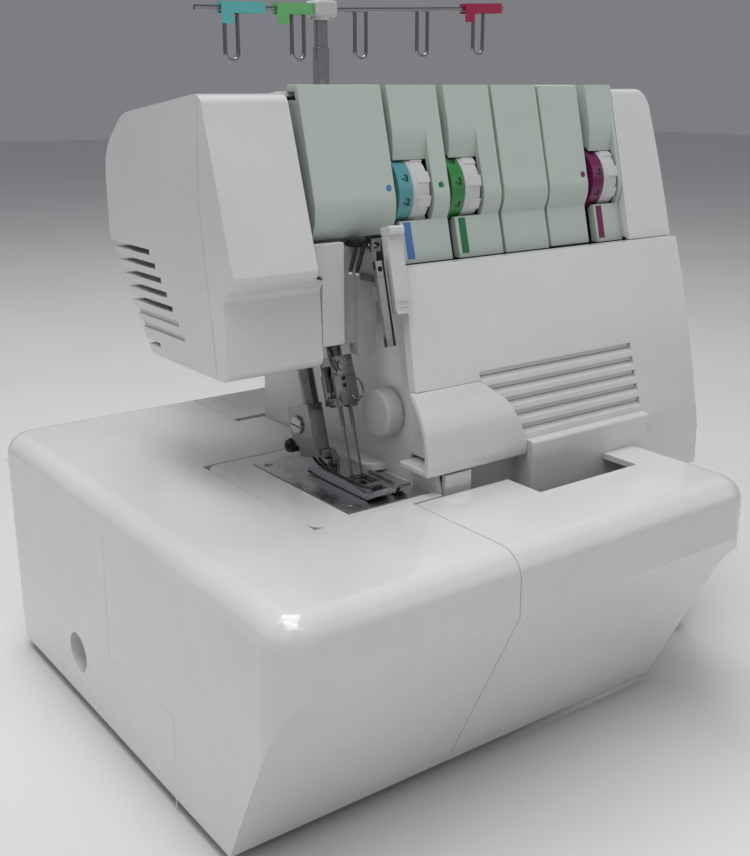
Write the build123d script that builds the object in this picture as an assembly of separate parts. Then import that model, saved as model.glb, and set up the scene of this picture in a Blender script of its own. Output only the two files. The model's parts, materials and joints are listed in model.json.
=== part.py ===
from build123d import *
import math
import os

# A two-needle coverstitch overlocker on a flat-bed extension table, in millimetres.
# The parts are drawn from a datum at the table's left end, front band and top:
# +X to the right, +Y to the back, +Z up. keep() moves them to the saved frame, whose
# origin is on the floor under the middle of the whole machine.

# ---- driving dimensions -------------------------------------------------------------
OVERALL_X = 360.0          # left end of the table to the tip of the thread guide
OVERALL_Y = 336.0          # front band to the back of the spool stand
TABLE_HEIGHT = 125.0       # floor to table top
FOOT_HEIGHT = 6.0          # rubber feet
BOTTOM = FOOT_HEIGHT - TABLE_HEIGHT
WALL = 2.5                 # moulded shells
GAP = 0.3                  # between neighbouring mouldings

LEAN = math.radians(17.2)  # front face, needle bar and presser bar lean back together
LEAN_RATE = math.tan(LEAN)
FRONT_Y = 69.8             # front face at table height
PANEL_RATE = 0.256         # the tension block leans back a little less than the front

HEAD_LEFT, HEAD_RIGHT = 44.0, 85.7
HEAD_BOTTOM = 58.0
ARM_BOTTOM = 101.4         # lower edge of the arm and upper edge of the front cover
ARM_TOP = 179.0
COLUMN_LEFT = 132.6
BODY_BACK = 234.0
CAP_LEFT = 287.9           # white end cap right of the last tension panel

TABLE_DEPTH = 294.0
SEAM_X = 114.5             # joint between the two table mouldings
TABLE_RIGHT = 269.5
BAND = 28.5                # height of the upright band round the table

NEEDLE_X = 109.8
NEEDLE_PITCH = 5.6
NEEDLE_Y = 107.6           # where the needle bar's axis meets the table top
NEEDLE_BAR_R = 3.5
PRESSER_X, PRESSER_Y = 100.0, 121.0
PRESSER_BAR_R = 4.0
RUNNING = 0.05             # radial clearance of a running fit

DIAL_R = 18.0
DIAL_Z = 132.0
DIAL_Y = 131.0
DIAL_SPINDLE_R = 3.0

SHAFT_Y, SHAFT_Z, SHAFT_R = 160.0, -30.0, 6.0
MOTOR_Y, MOTOR_Z, MOTOR_R = 200.0, -84.0, 27.0
PULLEY_R, MOTOR_PULLEY_R = 28.0, 8.0
PULLEY_X0, PULLEY_X1 = 300.0, 308.0

POLE_X, POLE_Y = 213.6, 290.0
STAND_Z = 70.0
GUIDE_Z = 223.0
LOOPS_X = (152.7, 197.4, 242.9, 291.2, 338.3)


# ---- small helpers ------------------------------------------------------------------
def block(x0, x1, y0, y1, z0, z1):
    return Pos((x0 + x1) / 2, (y0 + y1) / 2, (z0 + z1) / 2) * Box(x1 - x0, y1 - y0, z1 - z0)


def rod_x(x0, x1, y, z, r):
    return Pos((x0 + x1) / 2, y, z) * Rot(Y=90) * Cylinder(r, x1 - x0)


def rod_y(x, y0, y1, z, r):
    return Pos(x, (y0 + y1) / 2, z) * Rot(X=90) * Cylinder(r, y1 - y0)


def rod_z(x, y, z0, z1, r):
    return Pos(x, y, (z0 + z1) / 2) * Cylinder(r, z1 - z0)


def side_prism(points, x0, x1, rounds=()):
    """A (y, z) outline drawn from x0 to x1; rounds lists (corner number, radius)."""
    return Pos(X=x0) * extrude(Plane.YZ * outline(points, rounds), amount=x1 - x0, dir=(1, 0, 0))


def front_prism(points, y0, y1, rounds=()):
    """An (x, z) outline drawn from y0 to y1."""
    return Pos(Y=y0) * extrude(Plane.XZ * outline(points, rounds), amount=y1 - y0, dir=(0, 1, 0))


def plan_prism(points, z0, z1, rounds=()):
    """An (x, y) outline drawn from z0 to z1."""
    return Pos(Z=z0) * extrude(outline(points, rounds), amount=z1 - z0, dir=(0, 0, 1))


def outline(points, rounds=()):
    face = Polygon(*points, align=None)
    for number, radius in rounds:
        x, y = points[number]
        corner = face.vertices().sort_by_distance(Vector(x, y, 0))[0]
        face = fillet(corner, radius)
    return face


def front_y(z):
    return FRONT_Y + LEAN_RATE * z


def panel_y(z):
    """Face of the tension panels and of the end cap beside them."""
    return front_y(ARM_TOP) + PANEL_RATE * (z - ARM_TOP)


def leaning(x, y, s=0.0):
    """Frame whose Z axis leans back with the needle bar; s is the length along it."""
    return Pos(x, y, 0) * Rot(X=-math.degrees(LEAN)) * Pos(0, 0, s)


def behind_front(depth, z0, z1, x0, x1):
    """Everything ahead of a surface that lies the given depth behind the front face."""
    low_y = max(front_y(z0), FRONT_Y) + depth
    points = [(20, z0), (low_y, z0), (front_y(z1) + depth, z1), (20, z1)]
    if z0 < 0:
        points.insert(2, (FRONT_Y + depth, 0))
    return side_prism(points, x0, x1)


def keep(node, *solids):
    """Write one sub-part, moved to the saved frame."""
    placed = [Pos(-OVERALL_X / 2, -OVERALL_Y / 2, TABLE_HEIGHT) * s for s in solids]
    shape = placed[0] if len(placed) == 1 else Compound(children=placed)
    export_step(shape, f"parts/{node}.step")


# ---- arm and column covers ----------------------------------------------------------
def body_shape(inset):
    """Outer form of the arm and column, or its hollow when inset is the wall."""
    step_z = ARM_BOTTOM - inset
    side = [(FRONT_Y + inset, BOTTOM + inset), (FRONT_Y + inset, 0),
            (front_y(step_z) + inset, step_z), (panel_y(step_z) + inset, step_z),
            (panel_y(ARM_TOP) + inset * 0.7, ARM_TOP - inset), (202, 168 - inset),
            (227 - inset, 150), (BODY_BACK - inset, BOTTOM + inset)]
    form = side_prism(side, 60, 340, rounds=[(4, 4), (5, 24), (6, 24)])
    arm_left = HEAD_RIGHT + GAP if inset == 0 else HEAD_RIGHT - 5
    arm_bottom = ARM_BOTTOM if inset == 0 else ARM_BOTTOM - 5
    left = COLUMN_LEFT + inset
    with BuildSketch(Plane.XZ) as front:
        with BuildLine():
            top = Polyline((318 - inset, BOTTOM), (left, BOTTOM), (left, arm_bottom),
                           (arm_left, arm_bottom), (arm_left, 200 - inset), (300, 200 - inset))
            shoulder = ThreePointArc((312.5 - inset, -2), (321 - inset, 95), (317 - inset, 165))
            Line(top @ 0, shoulder @ 0)
            crown = ThreePointArc(shoulder @ 1, (313.5 - inset, 175.5 - inset),
                                  (305, 180.5 - inset))
            Line(crown @ 1, top @ 1)
        make_face()
    return form & extrude(front.sketch, amount=300, dir=(0, 1, 0))


def body_covers():
    shell = body_shape(0) - body_shape(WALL)
    pan_top = -22.0
    below = block(100, 340, 0, 300, BOTTOM - 1, pan_top)
    front = behind_front(5, -20, ARM_BOTTOM - GAP, 100, 340)
    panels = behind_front(9, ARM_BOTTOM, 190, 60, CAP_LEFT)
    cap = block(CAP_LEFT, 340, 0, 300, ARM_BOTTOM, 200)
    flank = block(300, 340, 0, 300, pan_top + GAP, ARM_BOTTOM)
    front_clear = behind_front(5 + GAP, -30, ARM_BOTTOM, 60, 340)
    front_clear += block(130, 137, 60, 96, 7.5, 13.5)
    right = shell & (cap + flank) - front_clear
    right += side_prism([(panel_y(176) + 1, 176), (panel_y(ARM_BOTTOM + 1) + 1, ARM_BOTTOM + 1),
                         (panel_y(ARM_BOTTOM + 1) + 13, ARM_BOTTOM + 1),
                         (panel_y(176) + 13, 176)], CAP_LEFT, CAP_LEFT + 2)
    rear_zone = block(60, CAP_LEFT - GAP, 0, 300, ARM_BOTTOM - 30, 200) + block(
        60, 300 - GAP, 0, 300, pan_top + GAP, ARM_BOTTOM)
    rear = (shell & rear_zone) - front_clear - panels
    return shell & front, shell & below, right, rear


def front_cover(plate):
    """Looper cover: leaning plate with vent grooves over an upright apron."""
    wing = front_prism([(136, ARM_BOTTOM - GAP), (131.6, ARM_BOTTOM - GAP), (125.8, 46.8),
                        (136, 46.8)], 60, 120)
    top = ARM_BOTTOM - GAP
    plate += wing & side_prism([(front_y(46.8), 46.8), (front_y(top), top),
                                (front_y(top) + 5, top), (front_y(46.8) + 5, 46.8)], 120, 136)
    for row in range(5):
        z = 48.6 - 6.9 * row
        plate -= side_prism([(front_y(z + 2) - 1, z + 2), (front_y(z + 2) + 3.4, z + 2),
                             (front_y(z) + 3.4, z), (front_y(z - 2) - 1, z - 3)], 165, 271)
    apron = block(187, 271, FRONT_Y, 77, -18, 15.6)
    apron = fillet(apron.edges().filter_by(Axis.X).group_by(Axis.Z)[-1].sort_by(Axis.Y)[:1], 1.8)
    hand_space = block(120, 186.7, 60, 90, -25, 14.5)
    nose_space = block(120, 164, 60, 100, 14, 46.6)
    recess = block(148.5, 189.5, 82, 84, -18, 12.5) + block(148.5, 151, 73.4, 84, -18, 8)
    recess += block(187, 189.5, 70.5, 84, -18, 12.5)
    recess += block(COLUMN_LEFT + WALL + GAP, 150, 73.4, 76, -18, 8)
    cover = (plate - hand_space - nose_space) + apron + recess
    return largest(cover - looper_guard())


def largest(shape):
    return shape.solids().sort_by(SortBy.VOLUME)[-1]


def looper_guard():
    """Rounded hood over the loopers at the left of the front cover."""
    depth = 3.0
    with BuildSketch(Plane.YZ) as section:
        with BuildLine():
            bow = ThreePointArc((front_y(46.5), 46.5), (75.2, 32), (72.6, 9))
            foot = Polyline(bow @ 1, (94, 9), (94, 9 + depth), (75.8, 9 + depth))
            back = ThreePointArc(foot @ 1, (78.4, 32), (front_y(44) + depth, 44))
            Polyline(back @ 1, (front_y(46.5) + depth, 46.5), bow @ 0)
        make_face()
    hood = Pos(X=124) * extrude(section.sketch, amount=62, dir=(1, 0, 0))
    trim = front_prism([(164, 60), (164, 47), (178, 36), (186.4, 14), (186.4, 0), (220, 0),
                        (220, 60)], 50, 120, rounds=[(2, 18)])
    return largest(hood - trim)


# ---- head covers --------------------------------------------------------------------
def head_shape(inset):
    side = [(110 + inset, HEAD_BOTTOM + inset), (112 + inset, 96),
            (front_y(ARM_BOTTOM) + 1.2 * inset, ARM_BOTTOM + inset),
            (front_y(177.5) + 0.7 * inset, 177.5 - inset), (202, 168 - inset),
            (225 - inset, 150), (225 - inset, 110), (184, HEAD_BOTTOM + inset)]
    form = side_prism(side, HEAD_LEFT + inset, 120,
                      rounds=[(0, 5), (1, 6), (2, 4), (3, 6), (4, 24), (5, 24), (7, 5)])
    lower_right = 93.0 if inset == 0 else 130.0
    upper_right = HEAD_RIGHT if inset == 0 else 130.0
    front = [(HEAD_LEFT + inset, 40), (lower_right, 40), (lower_right, 98),
             (upper_right, 100), (upper_right, 190), (HEAD_LEFT + inset, 190)]
    return form & front_prism(front, 60, 260)


def head_covers():
    shell = head_shape(0) - head_shape(WALL)
    seam = [(126, 185), (130, 134), (118, 50)]
    ahead = side_prism([(60, 50), (60, 185)] + [(y - GAP / 2, z) for y, z in seam], 30, 130)
    behind = side_prism([(y + GAP / 2, z) for y, z in seam] + [(260, 50), (260, 185)], 30, 130)
    side = shell & behind
    for row in range(7):
        z = 105.0 - 5.9 * row
        depth = 10 if row < 5 else 1.4
        side -= block(HEAD_LEFT - 1, HEAD_LEFT + depth, 180.8 - 5.3 * row, 240, z, z + 2.6)
    side -= block(HEAD_LEFT - 1, HEAD_LEFT + 6, 174.5, 240, 62.4, 64.4)
    return largest(shell & ahead), largest(side)


# ---- tension panels and dials -------------------------------------------------------
PANELS = ((91.5, 136.0, 0), (139.2, 168.1, 19.2), (172.6, 200.9, 17.0),
          (202.9, 232.5, 0), (234.5, 262.4, 0), (268.3, 287.5, 16.6))
PANEL_TOP = ARM_TOP + 1.6
HOOD_BOTTOM = 146.5        # lower edge of the hoods over the dials
FLAT_INSET = 4.7           # lower flats behind the panels' face


def panel_section(first):
    """Top lip, leaning face, rounded belly and set-back lower flat, as a thin section."""
    thick = 3.0
    bottom = ARM_BOTTOM - 0.4
    end = (117.0, 114.5) if first else (panel_y(120.5) + FLAT_INSET, 120.5)
    middle = (112.9, 124.6) if first else (panel_y(127) + 1.0, 127)
    lip_y = panel_y(PANEL_TOP) + 8.4
    with BuildSketch(Plane.YZ) as section:
        with BuildLine():
            face = Line((panel_y(PANEL_TOP), PANEL_TOP), (panel_y(135), 135))
            belly = ThreePointArc(face @ 1, middle, end)
            if first:
                tail = Polyline(belly @ 1, (118.4, 114.5 + thick))
            else:
                low_y = panel_y(bottom) + FLAT_INSET
                tail = Polyline(belly @ 1, (low_y, bottom), (low_y + thick, bottom),
                                (end[0] + thick, end[1] + 2))
            inner = ThreePointArc(tail @ 1, (middle[0] + 3.1, middle[1] + 1.2),
                                  (panel_y(136) + thick, 136))
            Polyline(inner @ 1, (panel_y(PANEL_TOP - thick) + thick, PANEL_TOP - thick),
                     (lip_y, PANEL_TOP - thick), (lip_y, PANEL_TOP), face @ 0)
        make_face()
    return section.sketch


def hood_section():
    """Face above a dial: it leaves the panel's plane and curls back over the wheel."""
    with BuildSketch(Plane.YZ) as section:
        with BuildLine():
            curl = Spline((panel_y(164), 164), (panel_y(156) + 0.7, 156),
                          (panel_y(HOOD_BOTTOM) + 3.4, HOOD_BOTTOM),
                          tangents=[(-PANEL_RATE, -1), (0.1, -1)])
            Polyline(curl @ 1, (panel_y(HOOD_BOTTOM) + 6.2, HOOD_BOTTOM),
                     (panel_y(164) + 3.0, 164), curl @ 0)
        make_face()
    return section.sketch


def along_x(section, x0, x1):
    return Pos(X=x0) * extrude(section, amount=x1 - x0, dir=(1, 0, 0))


def tension_panel(number):
    x0, x1, slot = PANELS[number]
    panel = along_x(panel_section(number == 0), x0, x1)
    if slot:
        panel -= block(x0 - 1, x0 + slot, 90, 140, 120, 164)
        panel += panel_cheek(x0)
        panel += along_x(hood_section(), x0, x0 + slot)
        panel -= rod_x(x0 - 1, x0 + slot, DIAL_Y, DIAL_Z, DIAL_R + 0.8)
    if number == 0:
        cheek = [(panel_y(174) + 1, 174), (panel_y(137) + 1, 137), (115.5, 121), (119, 120),
                 (panel_y(140) + 9, 140), (panel_y(174) + 9, 174)]
        panel += side_prism(cheek, x0, x0 + 2)
    if number == 3:
        panel += groove_backing()
    return panel


def panel_cheek(x0, deep=9.0, thick=2.0):
    """Left side wall of a panel above and below its dial."""
    bottom = ARM_BOTTOM - 0.4
    upper = side_prism([(panel_y(178) + 1, 178), (panel_y(164) + 1, 164),
                        (panel_y(HOOD_BOTTOM) + 4, HOOD_BOTTOM + 0.4),
                        (panel_y(HOOD_BOTTOM) + deep, HOOD_BOTTOM + 0.4),
                        (panel_y(178) + deep, 178)], x0, x0 + thick)
    lower = side_prism([(panel_y(119) + 5.4, 119), (panel_y(bottom) + 5.4, bottom),
                        (panel_y(bottom) + deep, bottom), (panel_y(119) + deep, 119)],
                       x0, x0 + thick)
    clear = rod_x(x0 - 1, x0 + thick + 1, DIAL_Y, DIAL_Z, DIAL_R + 0.8)
    return (upper + lower) - clear


def groove_backing():
    """Strip behind the three middle panels that closes the grooves between them."""
    backing = Pos(Y=3.2) * along_x(panel_section(False), 197, 237)
    backing -= block(190, 240, 90, 160, PANEL_TOP - 3.4, 200)
    for number in (2, 4):
        x0, x1, _ = PANELS[number]
        backing -= along_x(panel_section(False), x0, x1)
    return backing


def tension_dial(x0, width):
    """Thumbwheel: smooth numbered band at the left, gripped band at the right."""
    band = width * 0.45
    wheel = rod_x(x0, x0 + band, DIAL_Y, DIAL_Z, DIAL_R - 0.4)
    grip = rod_x(x0 + band, x0 + width, DIAL_Y, DIAL_Z, DIAL_R)
    wheel += chamfer(grip.edges().sort_by(Axis.X)[-1], 1.2)
    return wheel - rod_x(x0 - 1, x0 + width + 1, DIAL_Y, DIAL_Z, DIAL_SPINDLE_R + RUNNING)


DIALS = {"blue": (138.2, 18.4), "green": (169.8, 18.2), "magenta": (265.9, 18.2)}


def dial_spindles():
    return [rod_x(x0 - 5, x0 + width + 9, DIAL_Y, DIAL_Z, DIAL_SPINDLE_R)
            for x0, width in DIALS.values()]


# ---- cast frame ---------------------------------------------------------------------
DRIVE_S = 158.0            # height of the drive collar along the needle bar
ROCKER_ARM = 40.0
ROCKER_Y = NEEDLE_Y + DRIVE_S * math.sin(LEAN) + ROCKER_ARM * math.cos(LEAN)
ROCKER_Z = DRIVE_S * math.cos(LEAN) - ROCKER_ARM * math.sin(LEAN)
ROCKER_R = 4.0
LIFTER_Y, LIFTER_Z = 184.0, 82.0
LEVER_PIN_Y, LEVER_PIN_Z = 103.0, 88.6


def main_frame():
    """One casting: foot rail, two uprights, arm beam and needle-bar head."""
    rail = block(140, 294, 125, 205, -114, -106)
    left_wall = side_prism([(90, -114), (215, -114), (215, 120), (205, 160), (140, 160),
                            (128, 110)], 140, 147)
    right_wall = side_prism([(100, -114), (171, -114), (171, -50), (212, -50), (212, 100),
                             (175, 100)], 288, 294)
    beam = block(122, 291, 150, 206, 122, 158)
    hollow = block(150, 288, 150, 200, 126, 170)
    tie = block(284, 291, 150, 206, 98, 124)
    nose = block(93.5, 124, 114, 119, 66.5, 111)
    boss = block(113.5, 124, 112, 119, 59.5, 111)
    boss = fillet(boss.edges().filter_by(Axis.Y).group_by(Axis.Z)[0], 4)
    lower = block(93.5, 124, 116, 160, 73, 85)
    upper = block(93.5, 124, 121, 172, 112, 125)
    flank = block(119.8, 124, 121, 190, 73, 126) + block(119.8, 124, 116, 122, 73, 111)
    frame = rail + left_wall + right_wall + (beam - hollow) + tie + nose + boss + lower + upper + flank
    frame -= rod_x(130, 300, SHAFT_Y, SHAFT_Z, SHAFT_R + 3)
    frame -= rod_x(80, 300, ROCKER_Y, ROCKER_Z, ROCKER_R + 3)
    frame -= leaning(NEEDLE_X, NEEDLE_Y, 100) * Cylinder(NEEDLE_BAR_R + 2, 220)
    frame -= leaning(PRESSER_X, PRESSER_Y, 100) * Cylinder(PRESSER_BAR_R + 2, 220)
    for x0, width in DIALS.values():
        frame -= rod_x(x0 - 6, x0 + width + 10, DIAL_Y, DIAL_Z, DIAL_R + 1)
        if x0 + width + 8 < CAP_LEFT:
            frame += block(x0 + width + 3, x0 + width + 8, DIAL_Y - 5, 152, DIAL_Z - 6, DIAL_Z + 6)
    frame -= block(130, 300, DIAL_Y - DIAL_SPINDLE_R, DIAL_Y + DIAL_SPINDLE_R,
                   DIAL_Z - DIAL_SPINDLE_R, DIAL_Z + DIAL_SPINDLE_R)
    frame += rod_x(122, 132, LIFTER_Y, LIFTER_Z, 2.5)
    frame += block(121.6, 122.8, LEVER_PIN_Y - 2, 113, LEVER_PIN_Z - 3, LEVER_PIN_Z + 3)
    frame += rod_x(122, 128.4, LEVER_PIN_Y, LEVER_PIN_Z, 1.5)
    return largest(frame)


def bushes():
    ring = []
    for x, length, y, z, r in ((140, 7, SHAFT_Y, SHAFT_Z, SHAFT_R),
                               (288, 6, SHAFT_Y, SHAFT_Z, SHAFT_R),
                               (140, 7, ROCKER_Y, ROCKER_Z, ROCKER_R),
                               (284, 6, ROCKER_Y, ROCKER_Z, ROCKER_R)):
        ring.append(rod_x(x, x + length, y, z, r + 3)
                    - rod_x(x - 1, x + length + 1, y, z, r + RUNNING))
    for x, y, r in ((NEEDLE_X, NEEDLE_Y, NEEDLE_BAR_R), (PRESSER_X, PRESSER_Y, PRESSER_BAR_R)):
        for s, length in ((82.5, 11), (124, 12)):
            ring.append(leaning(x, y, s) * (Cylinder(r + 2, length)
                                            - Cylinder(r + RUNNING, length + 2)))
    return ring


# ---- drive --------------------------------------------------------------------------
def main_shaft():
    shaft = rod_x(138, 336, SHAFT_Y, SHAFT_Z, SHAFT_R)
    crank = Pos(153, SHAFT_Y + 3, SHAFT_Z) * Rot(Y=90) * Cylinder(11, 6)
    return shaft + crank


def handwheel():
    """Grip wheel outside the cover, with the belt pulley on its inner sleeve."""
    rim = rod_x(324, 346, SHAFT_Y, SHAFT_Z, 34) - rod_x(338, 347, SHAFT_Y, SHAFT_Z, 27)
    for turn in range(24):
        rim -= Pos(335, SHAFT_Y, SHAFT_Z) * Rot(X=15 * turn) * Pos(0, 0, 34.6) * Box(30, 2.4, 2.4)
    sleeve = rod_x(PULLEY_X0, 325, SHAFT_Y, SHAFT_Z, 11)
    pulley = rod_x(PULLEY_X0, PULLEY_X1, SHAFT_Y, SHAFT_Z, PULLEY_R)
    return rim + sleeve + pulley - rod_x(290, 336, SHAFT_Y, SHAFT_Z, SHAFT_R)


def motor():
    can = rod_x(200, 278, MOTOR_Y, MOTOR_Z, MOTOR_R)
    can += rod_x(278, 284, MOTOR_Y, MOTOR_Z, 12)
    foot = block(205, 273, MOTOR_Y - 24, MOTOR_Y + 24, -114, MOTOR_Z)
    rail_space = block(100, 300, 100, 205.3, -120, -105.7)
    return can + foot - rail_space - rod_x(262, 290, MOTOR_Y, MOTOR_Z, 2.5 + RUNNING)


def motor_pulley():
    return rod_x(264, 296, MOTOR_Y, MOTOR_Z, 2.5) + rod_x(296, 310, MOTOR_Y, MOTOR_Z,
                                                          MOTOR_PULLEY_R)


def belt_loop(offset):
    circles = Sketch() + [Pos(SHAFT_Y, SHAFT_Z) * Circle(PULLEY_R + offset),
                          Pos(MOTOR_Y, MOTOR_Z) * Circle(MOTOR_PULLEY_R + offset)]
    return make_hull(circles.edges())


def drive_belt():
    face = belt_loop(2.4) - belt_loop(0.35)
    return Pos(X=301) * extrude(Plane.YZ * face, amount=6, dir=(1, 0, 0))


def needle_rocker():
    """Rocker shaft with the slotted arm that drives the needle bar."""
    shaft = rod_x(114, 292, ROCKER_Y, ROCKER_Z, ROCKER_R)
    fork = Pos(0, -22, 0) * Box(3, 50, 9) - Pos(0, -1 - ROCKER_ARM, 0) * Box(5, 16, 5.4)
    return shaft + Pos(117.1, ROCKER_Y, ROCKER_Z) * Rot(X=-math.degrees(LEAN)) * fork


# ---- needles ------------------------------------------------------------------------
def needle_bar():
    bar = leaning(NEEDLE_X, NEEDLE_Y, 107) * Cylinder(NEEDLE_BAR_R, 114)
    collar = leaning(NEEDLE_X, NEEDLE_Y, DRIVE_S) * Cylinder(5.0, 8)
    pin = leaning(NEEDLE_X + 7, NEEDLE_Y, DRIVE_S) * Rot(Y=90) * Cylinder(1.9, 6)
    return bar + collar + pin


def needle_clamp():
    """Two-needle clamp: body with the needles' bores under a neck with the guide screw."""
    body = Pos(0, -0.8, 0) * Box(13.8, 10.4, 14.4)
    body = fillet(body.edges().filter_by(Axis.Z), 1.2)
    neck = Pos(-0.3, -1.5, 11) * Box(12.6, 12, 9)
    neck = fillet(neck.edges().filter_by(Axis.Z), 2.2)
    clamp = leaning(109.1, NEEDLE_Y, 45.4) * (body + neck)
    clamp -= leaning(NEEDLE_X, NEEDLE_Y, 60) * Cylinder(NEEDLE_BAR_R, 20)
    for x in needle_places():
        clamp -= leaning(x, NEEDLE_Y - 1, 41) * Cylinder(1.05, 8)
    for s in (50.3, 47.0):
        clamp -= leaning(108.3, NEEDLE_Y, s) * Pos(0, -6, 0) * Rot(X=90) * Cylinder(1.2, 3)
    for x, s, front, radius in CLAMP_SCREWS:
        clamp -= leaning(x, NEEDLE_Y, s) * Pos(0, front, 0) * Rot(X=90) * Cylinder(radius, 2.4)
    return clamp


CLAMP_SCREWS = ((106.3, 41.2, -6.0, 1.7), (107.4, 56.4, -7.5, 2.3))


def needle_places():
    return (NEEDLE_X - NEEDLE_PITCH / 2, NEEDLE_X + NEEDLE_PITCH / 2)


def needles():
    pieces = []
    for x in needle_places():
        shank = Pos(0, 0, 36.5) * Cylinder(1.0, 15)
        taper = Pos(0, 0, 27) * Cone(0.55, 1.0, 4)
        blade = Pos(0, 0, 15) * Cylinder(0.55, 20)
        tip = Pos(0, 0, 3.5) * Cone(0.1, 0.55, 3)
        pieces.append(leaning(x, NEEDLE_Y - 1) * (shank + taper + blade + tip))
    return pieces


def clamp_screws():
    """Slotted screws sunk in the clamp's front."""
    screws = []
    for x, s, front, radius in CLAMP_SCREWS:
        head = Pos(0, front, 0) * Rot(X=90) * Cylinder(radius - 0.05, 2.3)
        slot = Pos(0, front - 1.2, 0) * Rot(Y=35) * Box(2 * radius, 0.9, 0.6)
        screws.append(leaning(x, NEEDLE_Y, s) * (head - slot))
    return screws


# ---- presser ------------------------------------------------------------------------
PIVOT_Y, PIVOT_Z = 122.0, 8.6


def presser_bar():
    bar = leaning(PRESSER_X, PRESSER_Y, 93) * Cylinder(PRESSER_BAR_R, 126)
    collar = leaning(PRESSER_X, PRESSER_Y, 98) * Cylinder(5.0, 8)
    return bar + collar


def foot_holder():
    """Shank clamped on the presser bar, with a side plate and a tongue down to the foot."""
    left = 94.3 - PRESSER_X
    shank = Pos(left + 4.1, -0.5, 0) * Box(8.2, 10, 25)
    plate = Pos(left + 1, 4, 3) * Box(2, 19, 19)
    plate = fillet(plate.edges().filter_by(Axis.X).sort_by(Axis.Y)[-2:], 3)
    shank += plate + Pos(left + 1, 2, -7) * Box(2, 13, 10)
    shank = leaning(PRESSER_X, PRESSER_Y, 24.5) * shank
    shank -= leaning(PRESSER_X, PRESSER_Y, 41) * Cylinder(PRESSER_BAR_R, 22)
    shank -= foot_screw_place() * Rot(Y=90) * Cylinder(1.6, 8)
    tongue = side_prism([(115.5, 11), (119.6, 5.6), (124.4, 5.6), (127.0, 9), (128, 15),
                         (118.5, 15)], 101.9, 104.9)
    tongue += block(97, 103, 118.8, 126, 12, 16)
    return shank + tongue + rod_x(99.6, 107.0, PIVOT_Y, PIVOT_Z, 1.2)


def foot_screw_place():
    return leaning(PRESSER_X, PRESSER_Y, 28) * Pos(94.3 - PRESSER_X, 5.9, 0)


def foot_screw():
    """Low slotted head on the side plate."""
    head = Pos(-0.8, 0, 0) * Rot(Y=90) * Cylinder(4.4, 1.6)
    head = chamfer(head.edges().sort_by(Axis.X)[0], 0.5)
    stem = Pos(1.5, 0, 0) * Rot(Y=90) * Cylinder(1.55, 3.4)
    slot = Pos(-1.4, 0, 0) * Rot(X=20) * Box(1.0, 9, 1.0)
    return foot_screw_place() * (head + stem - slot)


FOOT_LEFT, FOOT_RIGHT = 99.3, 120.6


def presser_foot():
    """Sole with upturned toe, needle window and two hinge ears."""
    sole = side_prism([(78.6, 5.4), (79.6, 3.6), (85.5, 0.4), (124, 0.4), (134.5, 1.6),
                       (134.5, 3.2), (124, 2.6), (86.5, 2.2), (81.6, 4.6), (80.0, 6.4)],
                      FOOT_LEFT, FOOT_RIGHT, rounds=[(2, 6), (7, 5)])
    sole -= block(104, 116.4, 99, 112, -1, 5)
    sole -= block(111, 113.4, 70, 91, -1, 8)
    left = side_prism([(84, 1.4), (131, 1.4), (131, 4.6), (108, 5.4), (88, 3.2)],
                      FOOT_LEFT, FOOT_LEFT + 1.5)
    right = side_prism([(90, 1.4), (112, 1.4), (112, 3.6), (92, 3.2)],
                       FOOT_RIGHT - 1.4, FOOT_RIGHT)
    ears = block(99.6, 101.6, 118, 126, 2.0, 11) + block(105.2, 107.0, 118, 126, 2.0, 11)
    foot = sole + left + right + ears
    return foot - rod_x(98, 108, PIVOT_Y, PIVOT_Z, 1.2 + RUNNING)


def presser_lifter():
    """Hand lever at the back of the head casting, with a rounded finger tab."""
    hub = rod_x(126.5, 131.5, LIFTER_Y, LIFTER_Z, 6)
    lever = side_prism([(182, 77), (190, 77), (214, 70), (224, 70), (224, 75), (214, 76),
                        (190, 86), (184, 87)], 127, 131)
    tab = block(119, 131, 212, 224, 70, 75)
    return hub + lever + tab - rod_x(120, 135, LIFTER_Y, LIFTER_Z, 2.5 + RUNNING)


# ---- face of the head ---------------------------------------------------------------
def face_plate():
    """Plate behind the head cover's edge, wider above where the cover steps back."""
    plate = front_prism([(93.4, 67.6), (105.3, 67.6), (105.3, 113.8), (86.1, 113.8),
                         (86.1, 101.5), (93.4, 99)], 110.6, 113.6)
    return fillet(plate.edges().filter_by(Axis.Y).group_by(Axis.X)[-1], 1.0)


def guide_plate():
    """Chrome thread guide: long channelled plate, and a small eyelet plate above it."""
    channel = Box(5.4, 2.2, 38.4) - Pos(0, -1.0, 0) * Box(4.0, 1.4, 40)
    channel -= Pos(0, 0, 15.6) * Rot(X=90) * Cylinder(1.3, 6)
    long_plate = Pos(116.5, 95.4, 87.1) * Rot(X=-14) * channel
    long_plate += block(115, 118, 98, 112, 96, 99)
    eye = Pos(117.7, 104.0, 112.2) * (Box(5.4, 1.2, 5.8) - Rot(X=90) * Cylinder(1.6, 4))
    return [long_plate, eye + block(118.6, 120.2, 104, 112, 109.6, 110.8)]


def between(a, b, radius):
    """A round bar from point a to point b."""
    a, b = Vector(*a), Vector(*b)
    middle = Plane(origin=(a + b) / 2, z_dir=b - a)
    return middle * Cylinder(radius, (b - a).length)


def guide_prongs():
    prongs = block(110, 118.2, 110.4, 116, 111, 113.6)
    prongs += between((112.6, 111.4, 112.2), (106.9, 108.4, 100.6), 0.9)
    prongs += between((116.6, 111.0, 112.0), (110.5, 108.4, 99.8), 0.9)
    return prongs


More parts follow.
